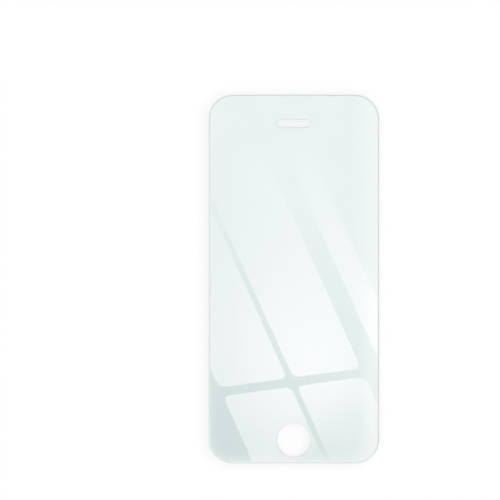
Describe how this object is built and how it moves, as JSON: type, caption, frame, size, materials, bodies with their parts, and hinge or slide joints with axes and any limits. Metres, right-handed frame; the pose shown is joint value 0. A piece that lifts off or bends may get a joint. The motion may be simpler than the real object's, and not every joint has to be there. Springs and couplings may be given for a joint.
{
  "type": "phone screen protector",
  "caption": "Thin clear glass sheet that covers the front of a phone, with rounded corners, a ground front edge, an earpiece slot and a round button hole.",
  "frame": {"origin": "middle of the sheet on its back face, the face that goes against the phone", "axes": "+X across the sheet, +Y along it towards the earpiece slot, +Z out of the front face"},
  "size_m": [0.056, 0.1212, 0.0003],
  "materials": {
    "tempered_glass": "polished, clear with a pale blue-green cast"
  },
  "bodies": {
    "root": {"glass_sheet": "tempered_glass"}
  },
  "joints": []
}
